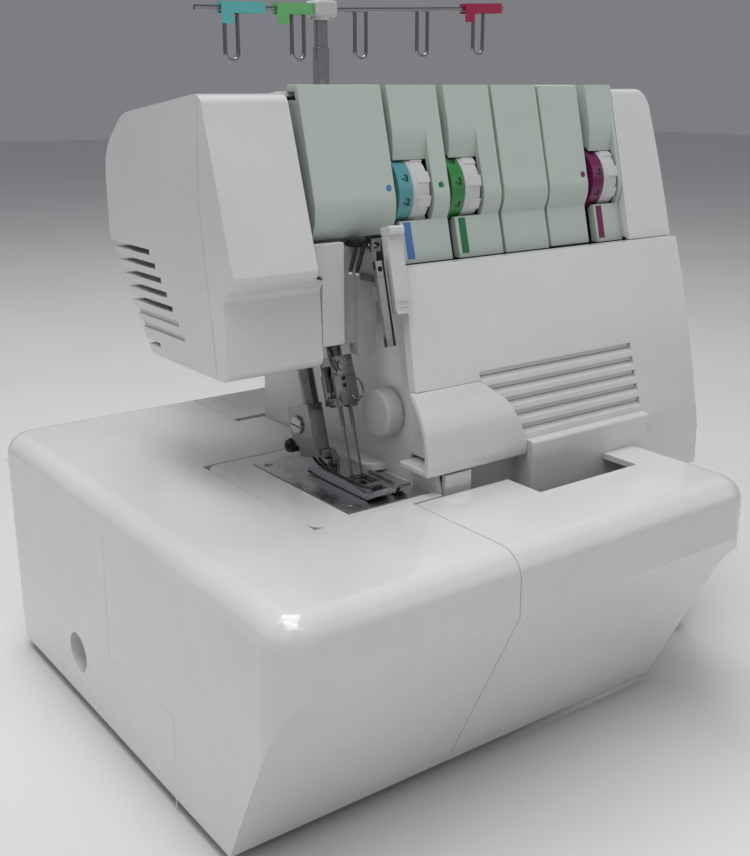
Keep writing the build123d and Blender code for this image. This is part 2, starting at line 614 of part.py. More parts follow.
def thread_lever():
    """White lever in front of the head casting; it swings about its lower pin."""
    slope = Pos(124.8, 97.9, 99.4) * Rot(X=-12.8)
    blade = Box(8.2, 4.6, 36)
    blade = fillet(blade.edges().filter_by(Axis.Y), 1.5)
    blade -= Pos(0, 1.6, 0) * Box(5.6, 3, 32)
    tab = Pos(0, -1.2, 19.2) * Box(8.2, 7, 4)
    tab = fillet(tab.edges().filter_by(Axis.X), 1.4)
    ribs = Pos(0, -2.3, -14.6) * Box(6, 0.8, 0.9) + Pos(0, -2.3, -11.8) * Box(6, 0.8, 0.9)
    ear = block(123.1, 126.9, 96.2, LEVER_PIN_Y + 3.4, LEVER_PIN_Z - 3.4, LEVER_PIN_Z + 3.4)
    lever = slope * (blade + tab + ribs) + ear
    return lever - rod_x(120, 135, LEVER_PIN_Y, LEVER_PIN_Z, 1.5 + RUNNING)


# ---- bed ----------------------------------------------------------------------------
def free_arm():
    """Hollow sewing arm that carries the needle plate, open towards the column."""
    arm = plan_prism([(62, 71.6), (132.2, 71.6), (132.2, 231), (114.9, 231), (114.9, 172),
                      (62, 172)], -48, -0.2, rounds=[(0, 8), (5, 8)])
    hollow = block(65, 140, 75, 169, -45, -3.2) + block(118, 140, 168, 228, -45, -3.2)
    arm -= hollow
    arm -= block(83.7, 130.5, 77.7, 161.3, -2.2, 1)
    arm -= block(86, 128, 80, 159, -4, 1)
    for y in (86, 152):
        rib = block(114, 132.2, y, y + 4, -45.2, -24)
        arm += rib - rod_y(124, y - 1, y + 5, -34, 3 + RUNNING)
    return arm


def needle_plate():
    plate = block(84, 130.2, 78, 161, -2.2, 0)
    for x in needle_places():
        plate -= plan_prism([(x - 1.6, 103), (x + 1.6, 103), (x + 1.6, 110), (x - 1.6, 110)],
                            -4, 1)
    for x in (101.5, 109.8, 118.1):
        plate -= block(x - 1.8, x + 1.8, 113, 137, -4, 1)
    for x, y in ((89, 84), (89, 155)):
        plate -= rod_z(x, y, -4, 1, 2.2)
    return plate


def feed_dogs():
    base = block(98, 121.6, 112, 138, -7.5, -3.4)
    for x in (101.5, 109.8, 118.1):
        rack = side_prism([(115.5, -3.6), (115.5, -0.7)] + feed_teeth(115.5, 134.5) +
                          [(134.5, -3.6)], x - 1.3, x + 1.3)
        base += rack
    stem = block(104, 112, 138, 146, -12, -3.4)
    return base + stem


def feed_teeth(y0, y1):
    count = 12
    pitch = (y1 - y0) / count
    points = []
    for tooth in range(count):
        points.append((y0 + pitch * (tooth + 0.5), -0.35))
        points.append((y0 + pitch * (tooth + 1), -0.7))
    return points


def looper():
    shaft = rod_y(124, 84, 158, -34, 3)
    arm = front_prism([(121, -34), (127, -34), (126.4, -12), (124, -8.4), (116, -9.4),
                       (115.6, -10.4), (122, -13)], 106, 109.6)
    hub = rod_y(124, 102, 113, -34, 5.5)
    return shaft + arm + hub


# ---- extension table ----------------------------------------------------------------
def table_shape(inset):
    """Rounded block with an undercut front, or its hollow when inset is the wall."""
    x0, y0, y1, top = inset, inset, TABLE_DEPTH - inset, -inset
    plan = [(x0, y0), (TABLE_RIGHT - inset, y0), (TABLE_RIGHT - inset, y1), (x0, y1)]
    form = plan_prism(plan, BOTTOM if inset == 0 else BOTTOM - 5, top,
                      rounds=[(0, 16 - inset), (1, 16 - inset), (2, 16 - inset), (3, 16 - inset)])
    rim = form.faces().sort_by(Axis.Z)[-1].edges()
    form = fillet(rim, 12 - inset)
    undercut = side_prism([(y0 - 20, -BAND), (y0, -BAND), (y0 + 43.5, BOTTOM + 0.5),
                           (y0 + 43.5, BOTTOM - 10), (y0 - 20, BOTTOM - 10)], -5, 300)
    heel = side_prism([(y1, -89), (y1 + 10, -89), (y1 + 10, BOTTOM - 10), (y1 - 14, BOTTOM - 10),
                       (y1 - 14, -106)], -5, 300)
    tuck = front_prism([(TABLE_RIGHT - inset, -BAND), (TABLE_RIGHT + 10, -BAND),
                        (TABLE_RIGHT + 10, BOTTOM - 10), (TABLE_RIGHT - inset - 14, BOTTOM - 10),
                        (TABLE_RIGHT - inset - 14, -44)], -10, 310)
    return form - undercut - heel - tuck


def table_left():
    half = block(-5, SEAM_X, -5, 300, BOTTOM - 10, 5)
    shell = (table_shape(0) - table_shape(3.0)) & half
    shell -= block(61.6, SEAM_X + 1, 71.2, 172.4, -50, 5)
    shell -= rod_x(-5, 8, 198, -94, 10.5)
    cup = rod_x(1.5, 18, 198, -94, 12.5) - rod_x(-5, 16, 198, -94, 10.5)
    for y in (30, 250):
        shell += block(20, 24, y, y + 12, -60, -1.5)
    return shell + cup


def table_right():
    """Front and back wings joined under the sewing arm by an upright web."""
    zone = block(SEAM_X + GAP, 280, -5, 69.5, BOTTOM - 10, 5)
    zone += block(SEAM_X + GAP, 280, BODY_BACK + 0.8, 300, BOTTOM - 10, 5)
    wings = (table_shape(0) - table_shape(3.0)) & zone
    wings -= block(171, 237.4, 47.5, 80, -30, 5)
    wings += table_shape(2.0) & block(SEAM_X + GAP, SEAM_X + 3, 0, 300, -112, -66)
    lip = block(SEAM_X + GAP, TABLE_RIGHT - 4, BODY_BACK + 0.8, BODY_BACK + 4, -20, -1)
    return wings + lip


# ---- base, side controls and fasteners ----------------------------------------------
def base_pan(pan):
    """Lower shell, open for the shaft, the belt's pulley, the switch and the inlet."""
    pan -= block(300, 325, SWITCH_Y - 6, SWITCH_Y + 6, SWITCH_Z - 10.6, SWITCH_Z + 10.6)
    pan -= block(300, 325, INLET_Y - 13.1, INLET_Y + 13.1, INLET_Z - 9.1, INLET_Z + 9.1)
    pan -= rod_x(120, 150, SHAFT_Y, SHAFT_Z, 9.5) + rod_x(290, 340, SHAFT_Y, SHAFT_Z, 13)
    return largest(pan)


def machine_feet():
    feet = []
    for x, y in ((150, 86), (300, 86), (150, 218), (300, 218)):
        feet.append(rod_z(x, y, -TABLE_HEIGHT, BOTTOM, 9))
    return feet


def side_holes():
    """Openings in the right cover for the shaft, two dials, switch and inlet."""
    holes = rod_x(290, 340, SHAFT_Y, SHAFT_Z, 13)
    for y, z in SIDE_DIALS.values():
        holes += rod_x(290, 340, y, z, 5 + RUNNING + 0.3)
    return holes


SIDE_DIALS = {"stitch_length_dial": (126.0, 48.0), "differential_dial": (196.0, 48.0)}
SWITCH_Y, SWITCH_Z = 196.0, -92.0
INLET_Y, INLET_Z = 130.0, -92.0


def side_dial(y, z):
    knob = rod_x(323, 333, y, z, 15)
    for turn in range(16):
        knob -= Pos(328, y, z) * Rot(X=22.5 * turn) * Pos(0, 0, 15.3) * Box(12, 2, 1.6)
    pointer = Pos(333.2, y, z + 8) * Box(1, 1.6, 9)
    return knob + pointer + rod_x(297, 323.5, y, z, 5)


def power_switch():
    rocker = front_prism([(316.5, SWITCH_Z - 9), (321.5, SWITCH_Z - 9.4), (319.6, SWITCH_Z),
                          (320.4, SWITCH_Z + 9.4), (316.5, SWITCH_Z + 9)],
                         SWITCH_Y - 5.5, SWITCH_Y + 5.5)
    return rocker + rod_y(316, SWITCH_Y - 5.5, SWITCH_Y + 5.5, SWITCH_Z, 3)


def power_inlet():
    """Appliance inlet in the base pan, with its two blades."""
    body = block(302, 320, INLET_Y - 13, INLET_Y + 13, INLET_Z - 9, INLET_Z + 9)
    body -= block(307, 321, INLET_Y - 10, INLET_Y + 10, INLET_Z - 6, INLET_Z + 6)
    for y in (INLET_Y - 4.5, INLET_Y + 4.5):
        body += block(306, 317, y - 1.4, y + 1.4, INLET_Z - 2, INLET_Z + 2)
    return body


def cover_screws():
    """Pan-head screws of the covers and needle plate."""
    screws = []
    for x, y in ((89, 84), (89, 155)):
        screws.append(rod_z(x, y, -3.0, -0.4, 2.1) - Pos(x, y, -0.4) * Box(3.4, 0.7, 0.8))
    for x, z in ((150, 130), (280, 130), (150, -10), (280, -10)):
        y = back_y(z)
        screws.append(rod_y(x, y + 0.1, y + 2.3, z, 3.4) - Pos(x, y + 2.3, z) * Box(5, 1, 0.9))
    return screws


def back_y(z):
    return BODY_BACK - 7 * (z - BOTTOM) / (150 - BOTTOM)


# ---- thread stand -------------------------------------------------------------------
def spool_stand():
    deck = plan_prism([(104, 240), (344, 240), (344, 336), (104, 336)], STAND_Z, STAND_Z + 5,
                      rounds=[(0, 6), (1, 6), (2, 20), (3, 20)])
    for x, y in spool_places():
        deck += rod_z(x, y, STAND_Z + 4, STAND_Z + 7, 13)
        deck -= rod_z(x, y, STAND_Z + 1, STAND_Z + 8, PIN_ROOT_R)
    deck += rod_z(POLE_X, POLE_Y, STAND_Z - 4, STAND_Z + 12, 11)
    for x in (150, 280):
        deck += block(x - 8, x + 8, 229.2, 262, STAND_Z - 12, STAND_Z + 1)
        deck -= block(x - 20, x + 20, 220, back_y(STAND_Z) + 1.4, STAND_Z - 14, STAND_Z + 6)
    return deck - rod_z(POLE_X, POLE_Y, STAND_Z - 2, STAND_Z + 20, 7)


def spool_places():
    return [(x, 262 if n % 2 == 0 else 316) for n, x in enumerate((128, 172, 224, 276, 320))]


PIN_R, PIN_ROOT_R = 2.5, 2.0


def spool_pins():
    return [rod_z(x, y, STAND_Z + 1, STAND_Z + 7, PIN_ROOT_R)
            + rod_z(x, y, STAND_Z + 7, STAND_Z + 58, PIN_R) for x, y in spool_places()]


def pole_lower():
    return rod_z(POLE_X, POLE_Y, STAND_Z - 2, 168, 7) - rod_z(POLE_X, POLE_Y, STAND_Z, 170,
                                                              5 + RUNNING)


def pole_upper():
    """Stepped upper tube that slides in the lower one."""
    return rod_z(POLE_X, POLE_Y, 92, 202, 5) + rod_z(POLE_X, POLE_Y, 202, 221.2, 4.2)


def pole_cap():
    """Block across the top of the pole; the guide wire passes through it."""
    cap = block(POLE_X - 6.7, POLE_X + 8.7, POLE_Y - 6.4, POLE_Y + 6.4, 219, 228.4)
    cap = fillet(cap.edges().filter_by(Axis.Y), 2.2)
    cap = fillet(cap.edges().filter_by(Axis.X), 1.6)
    cap += rod_z(POLE_X, POLE_Y, 217.4, 221, 6.2)
    cap -= rod_z(POLE_X, POLE_Y, 210, 221.4, 4.2 + RUNNING)
    return cap - guide_bar()


def guide_height(x):
    """Height of the guide bar: nearly level at the left, rising to the right."""
    left, middle, right = (130.0, 221.7), (POLE_X, GUIDE_Z), (OVERALL_X, 229.0)
    if x < POLE_X:
        return left[1] + (middle[1] - left[1]) * (x - left[0]) / (middle[0] - left[0])
    return middle[1] + (right[1] - middle[1]) * (x - middle[0]) / (right[0] - middle[0])


def guide_bar():
    bar = None
    for x0, x1 in ((130.0, POLE_X), (POLE_X, OVERALL_X - 0.06)):
        a = Vector(x0, POLE_Y, guide_height(x0))
        b = Vector(x1, POLE_Y, guide_height(x1))
        piece = Plane(origin=a, z_dir=b - a) * Pos(0, 0, (b - a).length / 2) * Cylinder(
            1.5, (b - a).length)
        bar = piece if bar is None else bar + piece
    return bar + Pos(POLE_X, POLE_Y, GUIDE_Z) * Sphere(1.5)


def guide_loop(x):
    """Hanging U of wire under the bar."""
    wire, half, drop = 1.2, 4.2, 24.0
    z = guide_height(x)
    legs = rod_z(x - half, POLE_Y, z - drop, z, wire) + rod_z(x + half, POLE_Y, z - drop, z, wire)
    ring = Pos(x, POLE_Y, z - drop) * Rot(X=90) * Torus(half, wire)
    return legs + (ring & block(x - 9, x + 9, POLE_Y - 5, POLE_Y + 5, z - drop - 9, z - drop))


def guide_wire():
    wire = guide_bar()
    for x in LOOPS_X:
        wire += guide_loop(x)
    return wire


CLIPS = {"teal": (145.7, 173.6), "green": (182.3, 209.0 - 2.5), "magenta": (325.3, 355.9)}


def guide_clip(x0, x1):
    """Folded plastic clip that sits over the bar and its loop."""
    mid = (x0 + x1) / 2
    z = guide_height(mid)
    rise = math.degrees(math.atan2(guide_height(x1) - guide_height(x0), x1 - x0))
    fold = Pos(mid, POLE_Y, z) * Rot(Y=-rise) * (Pos(0, 0, 0.4) * Box(x1 - x0, 7.4, 6.2)
                                                 - Pos(0, 0, -1.6) * Box(x1 - x0 + 1, 3.4, 6.4))
    tab = Pos(x0 + 3.6, POLE_Y - 2.9, z - 5) * Box(7, 1.5, 7)
    return fold + tab - guide_bar()


KNOB_Y, KNOB_Z = 112.0, 31.0


def knob():
    """Round inner knob beside the loopers."""
    wheel = rod_x(122.9, 131.9, KNOB_Y, KNOB_Z, 11.5)
    wheel = fillet(wheel.edges().group_by(Axis.X)[0], 1.6)
    return wheel + rod_x(131, 138, KNOB_Y, KNOB_Z, 4)


def bed_lid():
    """White lid at the foot of the column, over the needle plate's right edge."""
    lid = plan_prism([(122.0, 114.4), (COLUMN_LEFT + 1, 114.4), (COLUMN_LEFT + 1, 176),
                      (122.0, 176)], 0.6, 4.4, rounds=[(0, 8), (3, 8)])
    return fillet(lid.edges().group_by(Axis.Z)[-1].sort_by(Axis.X)[:4], 1.2)


def build():
    os.makedirs("parts", exist_ok=True)
    plate, pan, right, rear = body_covers()
    keep("front_cover", front_cover(plate))
    keep("base_pan", base_pan(pan))
    keep("right_cover", largest(right - side_holes()))
    knob_hole = rod_x(125, 140, KNOB_Y, KNOB_Z, 4 + RUNNING)
    keep("rear_cover", largest(rear + bed_lid() - knob_hole))
    keep("looper_guard", looper_guard())
    head_front, head_side = head_covers()
    keep("head_front_cover", head_front)
    keep("head_side_cover", head_side)
    for number in range(len(PANELS)):
        keep(f"tension_panel_{number + 1}", tension_panel(number))
    for colour, (x0, width) in DIALS.items():
        keep(f"tension_dial_{colour}", tension_dial(x0, width))
    keep("dial_spindles", *dial_spindles())
    keep("main_frame", main_frame())
    keep("bushes", *bushes())
    keep("main_shaft", main_shaft())
    keep("handwheel", handwheel())
    keep("motor", motor())
    keep("motor_pulley", motor_pulley())
    keep("drive_belt", drive_belt())
    keep("needle_rocker", needle_rocker())
    keep("needle_bar", needle_bar())
    keep("needle_clamp", needle_clamp())
    keep("needles", *needles())
    keep("clamp_screws", *clamp_screws())
    keep("presser_bar", presser_bar())
    keep("foot_holder", foot_holder())
    keep("foot_screw", foot_screw())
    keep("presser_foot", presser_foot())
    keep("presser_lifter", presser_lifter())
    keep("face_plate", face_plate())
    keep("guide_plate", *guide_plate())
    keep("guide_prongs", guide_prongs())
    keep("thread_lever", thread_lever())
    keep("free_arm", free_arm())
    keep("needle_plate", needle_plate())
    keep("feed_dogs", feed_dogs())
    keep("looper", looper())
    keep("looper_knob", knob())
    keep("table_left", table_left())
    keep("table_right", table_right())
    keep("machine_feet", *machine_feet())
    for node, (y, z) in SIDE_DIALS.items():
        keep(node, side_dial(y, z))
    keep("power_switch", power_switch())
    keep("power_inlet", power_inlet())
    keep("cover_screws", *cover_screws())
    keep("spool_stand", spool_stand())
    keep("spool_pins", *spool_pins())
    keep("pole_lower", pole_lower())
    keep("pole_upper", pole_upper())
    keep("pole_cap", pole_cap())
    keep("guide_wire", guide_wire())
    for colour, (x0, x1) in CLIPS.items():
        keep(f"guide_clip_{colour}", guide_clip(x0, x1))


build()
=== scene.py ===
import bpy
import bmesh
import json
import math
from mathutils import Matrix, Vector


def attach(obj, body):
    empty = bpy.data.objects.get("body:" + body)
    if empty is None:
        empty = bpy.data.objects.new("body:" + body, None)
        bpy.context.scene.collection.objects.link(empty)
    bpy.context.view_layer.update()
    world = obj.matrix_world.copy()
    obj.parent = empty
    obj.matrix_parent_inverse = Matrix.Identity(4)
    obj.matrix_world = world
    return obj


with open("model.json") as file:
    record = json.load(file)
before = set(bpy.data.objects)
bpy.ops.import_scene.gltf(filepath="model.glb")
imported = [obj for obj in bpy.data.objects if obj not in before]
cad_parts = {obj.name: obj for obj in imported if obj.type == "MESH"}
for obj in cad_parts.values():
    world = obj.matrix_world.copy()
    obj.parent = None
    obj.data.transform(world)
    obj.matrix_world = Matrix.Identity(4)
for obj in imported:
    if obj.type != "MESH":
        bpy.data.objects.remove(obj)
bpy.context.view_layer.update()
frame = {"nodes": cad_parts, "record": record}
nodes = frame["nodes"]

# Distances below are in millimetres from the table's left end, front band and top.
ORIGIN = Vector((-180.0, -168.0, 125.0))
LEAN = math.radians(17.2)  # of the head and the looper cover, back from upright
PANEL_RATE = 0.256  # how far the tension panels go back per millimetre up
DIAL_Y, DIAL_Z, DIAL_R = 131.0, 132.0, 18.0
DIALS = {"blue": (138.2, 18.4), "green": (169.8, 18.2), "magenta": (265.9, 18.2)}  # left, width
BAND = 8.0  # width of a dial's coloured band
MARKS = 10  # numerals and grips round one dial
PITCH = 36  # degrees from one to the next


def place(x, y, z):
    return (Vector((x, y, z)) + ORIGIN) / 1000


def front_y(z):
    """Front of the looper cover at a height."""
    return 69.8 + math.tan(LEAN) * z


def panel_y(z):
    """Front of the tension panels at a height."""
    return front_y(179) + PANEL_RATE * (z - 179)


def leaning(x, y, s=0.0):
    """Frame of a point s millimetres up a bar that leans back with the head."""
    foot = Matrix.Translation((x, y, 0)) @ Matrix.Rotation(-LEAN, 4, "X")
    return foot @ Matrix.Translation((0, 0, s))


def linear(red, green, blue):
    """A display colour from 0 to 255 as the shader's linear colour."""
    def channel(value):
        value /= 255
        return value / 12.92 if value <= 0.04045 else ((value + 0.055) / 1.055) ** 2.4
    return (channel(red), channel(green), channel(blue), 1.0)


# ---- materials ----------------------------------------------------------------------
class Shader:
    """A Principled material with short ways to add the nodes used here."""

    def __init__(self, name, metallic=0.0, coat=0.0, ior=1.48):
        self.material = bpy.data.materials.new(name)
        self.material.use_nodes = True
        self.tree = self.material.node_tree
        self.out = self.tree.nodes["Principled BSDF"]
        self.out.inputs["Metallic"].default_value = metallic
        self.out.inputs["Coat Weight"].default_value = coat
        self.out.inputs["Coat Roughness"].default_value = 0.12
        self.out.inputs["IOR"].default_value = ior
        self.point = self.add("ShaderNodeTexCoord").outputs["Object"]

    def add(self, kind, **settings):
        node = self.tree.nodes.new(kind)
        for key, value in settings.items():
            setattr(node, key, value)
        return node

    def link(self, source, target):
        self.tree.links.new(source, target)

    def stretched(self, x, y, z):
        """The texture point with its axes scaled, for brushed lines."""
        node = self.add("ShaderNodeMapping")
        node.inputs["Scale"].default_value = (x, y, z)
        self.link(self.point, node.inputs["Vector"])
        return node.outputs["Vector"]

    def noise(self, scale, detail=3.0, vector=None, rough=0.55):
        node = self.add("ShaderNodeTexNoise")
        node.inputs["Scale"].default_value = scale
        node.inputs["Detail"].default_value = detail
        node.inputs["Roughness"].default_value = rough
        self.link(vector or self.point, node.inputs["Vector"])
        return node.outputs["Fac"]

    def range(self, value, low, high, start=0.3, end=0.7):
        """Maps start to end of the value onto low to high."""
        node = self.add("ShaderNodeMapRange")
        for key, number in (("From Min", start), ("From Max", end), ("To Min", low),
                            ("To Max", high)):
            node.inputs[key].default_value = number
        self.link(value, node.inputs["Value"])
        return node.outputs["Result"]

    def mix(self, factor, first, second):
        node = self.add("ShaderNodeMix", data_type="RGBA")
        sockets = [s for s in node.inputs if s.name in ("A", "B") and s.type == "RGBA"]
        for socket, colour in zip(sockets, (first, second)):
            if hasattr(colour, "is_linked"):
                self.link(colour, socket)
            else:
                socket.default_value = colour
        self.link(factor, node.inputs["Factor"])
        return [s for s in node.outputs if s.type == "RGBA"][0]

    def occlusion_shade(self, distance, start=0.45, end=0.95):
        """Painted shade mask from ambient occlusion: 1 deep in corners, 0 in the open."""
        node = self.add("ShaderNodeAmbientOcclusion", samples=6)
        node.inputs["Distance"].default_value = distance
        return self.range(node.outputs["AO"], 1.0, 0.0, start, end)

    def bump(self, height, distance, strength=1.0, below=None):
        node = self.add("ShaderNodeBump")
        node.inputs["Distance"].default_value = distance
        node.inputs["Strength"].default_value = strength
        self.link(height, node.inputs["Height"])
        if below is not None:
            self.link(below, node.inputs["Normal"])
        return node.outputs["Normal"]

    def set(self, socket, source):
        self.link(source, self.out.inputs[socket])


def plastic(name, colour, rough=0.26, coat=0.25, grain=0.00001, grain_scale=1400.0, shade_strength=0.5,
            spread=0.03):
    """Moulded plastic: faint mottling, fine spark grain, handling haze, dust specks and painted
    shade in corners.
    """
    s = Shader(name, coat=coat)
    shade = [c * (1 - spread) for c in colour[:3]] + [1]
    light = [min(1, c * (1 + spread)) for c in colour[:3]] + [1]
    base = s.mix(s.range(s.noise(22, 4), 0, 1), shade, light)
    # Dust tint, used both for dust specks and for painted shade in corners.
    dust_and_shade = [c * f for c, f in zip(colour[:3], (0.60, 0.57, 0.52))] + [1]
    specks = s.range(s.noise(420, 2), 0.0, 1.0, 0.62, 0.8)
    base = s.mix(s.range(specks, 0, 0.05, 0, 1), base, dust_and_shade)
    # Painted shade: corners darken towards the dust tint by ambient occlusion.
    base = s.mix(s.range(s.occlusion_shade(0.006), 0, shade_strength, 0, 1), base, dust_and_shade)
    s.set("Base Color", base)
    s.set("Roughness", s.range(s.noise(75, 5), rough * 0.82, rough * 1.25))
    wavy = s.bump(s.noise(38, 2), 0.00025, 0.35)
    s.set("Normal", s.bump(s.noise(grain_scale, 2), grain, 1.0, wavy))
    return s.material


def metal(name, colour, rough, brushed=(1, 1, 1), scratch=0.000012, tint=0.12, anisotropy=0.0,
          shade_strength=0.5):
    """Machined or plated metal: directional scratches, cloudy roughness, painted shade in
    corners.
    """
    s = Shader(name, metallic=1.0)
    s.out.inputs["Anisotropic"].default_value = anisotropy
    lines = s.stretched(*brushed)
    shade = [c * (1 - tint) for c in colour[:3]] + [1]
    light = [min(1, c * (1 + tint)) for c in colour[:3]] + [1]
    base = s.mix(s.range(s.noise(260, 4, lines), 0, 1), shade, light)
    # Painted shade: corners darken towards a quarter of the colour by ambient occlusion.
    shade_tone = [c * 0.25 for c in colour[:3]] + [1]
    base = s.mix(s.range(s.occlusion_shade(0.003), 0, shade_strength, 0, 1), base, shade_tone)
    s.set("Base Color", base)
    cloud = s.range(s.noise(180, 4), rough * 0.7, rough * 1.4)
    s.set("Roughness", cloud)
    s.set("Normal", s.bump(s.noise(900, 4, lines), scratch, 1.0))
    return s.material


def cast(name, colour):
    """Painted die casting with a coarse skin."""
    s = Shader(name)
    base = s.mix(s.range(s.noise(90, 6), 0, 1), [c * 0.86 for c in colour[:3]] + [1], colour)
    s.set("Base Color", base)
    s.set("Roughness", s.range(s.noise(140, 4), 0.42, 0.66))
    s.set("Normal", s.bump(s.noise(700, 5), 0.00006, 1.0))
    return s.material


def rubber(name):
    s = Shader(name, ior=1.45)
    dust = s.range(s.noise(160, 5), 0, 0.35, 0.45, 0.75)
    s.set("Base Color", s.mix(dust, (0.018, 0.018, 0.019, 1), (0.10, 0.098, 0.092, 1)))
    s.set("Roughness", s.range(s.noise(300, 3), 0.62, 0.85))
    s.set("Normal", s.bump(s.noise(1500, 3), 0.00004, 1.0))
    return s.material


def two_tone(name, colour, edge):
    """Dial plastic: printed colour on the band left of edge, white grip right of it, painted
    shade in corners.
    """
    s = Shader(name, coat=0.2)
    split = s.add("ShaderNodeSeparateXYZ")
    s.link(s.point, split.inputs["Vector"])
    limit = place(edge, 0, 0).x
    band = s.range(split.outputs["X"], 1, 0, limit - 0.00004, limit + 0.00004)
    worn = s.range(s.noise(60, 5), 0, 1)
    tint = s.mix(worn, [c * 0.93 for c in colour[:3]] + [1], colour)
    white = s.mix(worn, linear(214, 214, 213), linear(224, 224, 223))
    base = s.mix(band, white, tint)
    # Painted shade: the dial's corners darken by ambient occlusion.
    dark = s.mix(s.range(s.occlusion_shade(0.003), 0, 0.35, 0, 1), base, linear(52, 50, 48))
    s.set("Base Color", dark)
    s.set("Roughness", s.range(s.noise(90, 4), 0.24, 0.36))
    s.set("Normal", s.bump(s.noise(1300, 2), 0.00001))
    return s.material


def paint(name, colour):
    """Pad-printed marking ink, a little thin in places."""
    s = Shader(name)
    thin = s.range(s.noise(240, 5), 0, 1, 0.35, 0.75)
    s.set("Base Color", s.mix(thin, colour, [min(1, c * 1.15 + 0.005) for c in colour[:3]] + [1]))
    s.set("Roughness", s.range(s.noise(500, 3), 0.38, 0.55))
    s.set("Normal", s.bump(s.noise(1800, 2), 0.000008))
    return s.material


# A corner strength given to a look below sets how far painted shade darkens its corners.
LOOKS = {
    "white_gloss": plastic("white gloss plastic", linear(232, 232, 231), rough=0.15, coat=0.6,
                           shade_strength=0.25),
    "white_matte": plastic("white satin plastic", linear(228, 228, 228), rough=0.34, coat=0.1),
    "panel_green": plastic("grey green satin plastic", linear(202, 214, 205), rough=0.36,
                           coat=0.05, grain=0.000025, grain_scale=2200, spread=0.02),
    "dial_teal": two_tone("teal dial plastic", linear(96, 172, 178), DIALS["blue"][0] + BAND),
    "dial_green": two_tone("green dial plastic", linear(62, 146, 78), DIALS["green"][0] + BAND),
    "dial_magenta": two_tone("magenta dial plastic", linear(118, 34, 84),
                             DIALS["magenta"][0] + BAND),
    "dial_white": plastic("white dial plastic", linear(222, 222, 221), rough=0.3, shade_strength=0.3),
    "blue_ink": paint("blue ink", linear(84, 128, 188)),
    "green_ink": paint("green ink", linear(38, 122, 74)),
    "magenta_ink": paint("magenta ink", linear(122, 38, 86)),
    "black_ink": paint("black ink", linear(24, 24, 26)),
    "clip_teal": plastic("teal clip plastic", linear(104, 196, 196), rough=0.28),
    "clip_green": plastic("green clip plastic", linear(116, 196, 124), rough=0.28),
    "clip_magenta": plastic("magenta clip plastic", linear(178, 36, 82), rough=0.28),
    "steel": metal("machined steel", (0.52, 0.52, 0.52, 1), 0.28, (1, 1, 6)),
    "dark_steel": metal("dark nickel", (0.30, 0.30, 0.305, 1), 0.24, (5, 1, 1), tint=0.07,
                        shade_strength=0.3),
    "foot_steel": metal("polished foot steel", (0.60, 0.61, 0.63, 1), 0.20, (1, 5, 1),
                        tint=0.05, shade_strength=0.35),
    "bar_steel": metal("oiled bar steel", (0.27, 0.27, 0.27, 1), 0.22, (1, 1, 5), tint=0.08,
                       shade_strength=0.3),
    "chrome": metal("polished chrome", (0.55, 0.55, 0.57, 1), 0.10, (1, 1, 8), 0.000005, 0.05),
    "dark_chrome": metal("bent chrome wire", (0.34, 0.34, 0.35, 1), 0.14, (8, 1, 1), 0.000005,
                         0.05),
    "plate": metal("satin steel plate", (0.62, 0.62, 0.63, 1), 0.26, (1, 14, 1), 0.000003,
                   tint=0.03, anisotropy=0.3, shade_strength=0.2),
    "casting": cast("grey die casting", linear(184, 184, 181)),
    "bronze": metal("sintered bronze", (0.50, 0.33, 0.16, 1), 0.45, tint=0.2),
    "black_plastic": plastic("black plastic", linear(32, 32, 34), rough=0.38, coat=0.0),
    "grey_plastic": plastic("grey plastic", linear(204, 204, 201), rough=0.34, coat=0.05),
    "rubber": rubber("black rubber"),
}


CRISP_ANGLE = math.radians(21)  # sharper edges break the smooth shading
BEVEL_ANGLE = math.radians(32)  # sharper edges are rounded
FLAT_ANGLE = math.radians(0.6)  # faces closer to level than this are merged


def edge_sorter():
    """Node group that shades faces smooth and keeps edges sharper than CRISP_ANGLE crisp."""
    group = bpy.data.node_groups.new("crisp edges", "GeometryNodeTree")
    group.interface.new_socket("Geometry", in_out="INPUT", socket_type="NodeSocketGeometry")
    group.interface.new_socket("Geometry", in_out="OUTPUT", socket_type="NodeSocketGeometry")
    enter, leave = group.nodes.new("NodeGroupInput"), group.nodes.new("NodeGroupOutput")
    faces = group.nodes.new("GeometryNodeSetShadeSmooth")
    edges = group.nodes.new("GeometryNodeSetShadeSmooth")
    edges.domain = "EDGE"
    edges.inputs["Shade Smooth"].default_value = False
    angle = group.nodes.new("GeometryNodeInputMeshEdgeAngle")
    compare = group.nodes.new("FunctionNodeCompare")
    compare.operation = "GREATER_THAN"
    compare.inputs["B"].default_value = CRISP_ANGLE
    links = group.links
    links.new(enter.outputs[0], faces.inputs["Geometry"])
    links.new(faces.outputs[0], edges.inputs["Geometry"])
    links.new(angle.outputs["Unsigned Angle"], compare.inputs["A"])
    links.new(compare.outputs["Result"], edges.inputs["Selection"])
    links.new(edges.outputs[0], leave.inputs[0])
    return group


CRISP = edge_sorter()


def soften(piece, width):
    """Rounds sharp edges by width millimetres and keeps flat faces flat in shading."""
    weld = piece.modifiers.new("weld", "WELD")
    weld.merge_threshold = 0.000004
    flat = piece.modifiers.new("merge flats", "DECIMATE")
    flat.decimate_type = "DISSOLVE"
    flat.angle_limit = FLAT_ANGLE
    bevel = piece.modifiers.new("edges", "BEVEL")
    bevel.width = width / 1000
    bevel.segments = 3
    bevel.limit_method = "ANGLE"
    bevel.angle_limit = BEVEL_ANGLE
    bevel.use_clamp_overlap = True
    crisp = piece.modifiers.new("crisp", "NODES")
    crisp.node_group = CRISP
    normals = piece.modifiers.new("normals", "WEIGHTED_NORMAL")
    normals.mode = "FACE_AREA"
    normals.keep_sharp = True


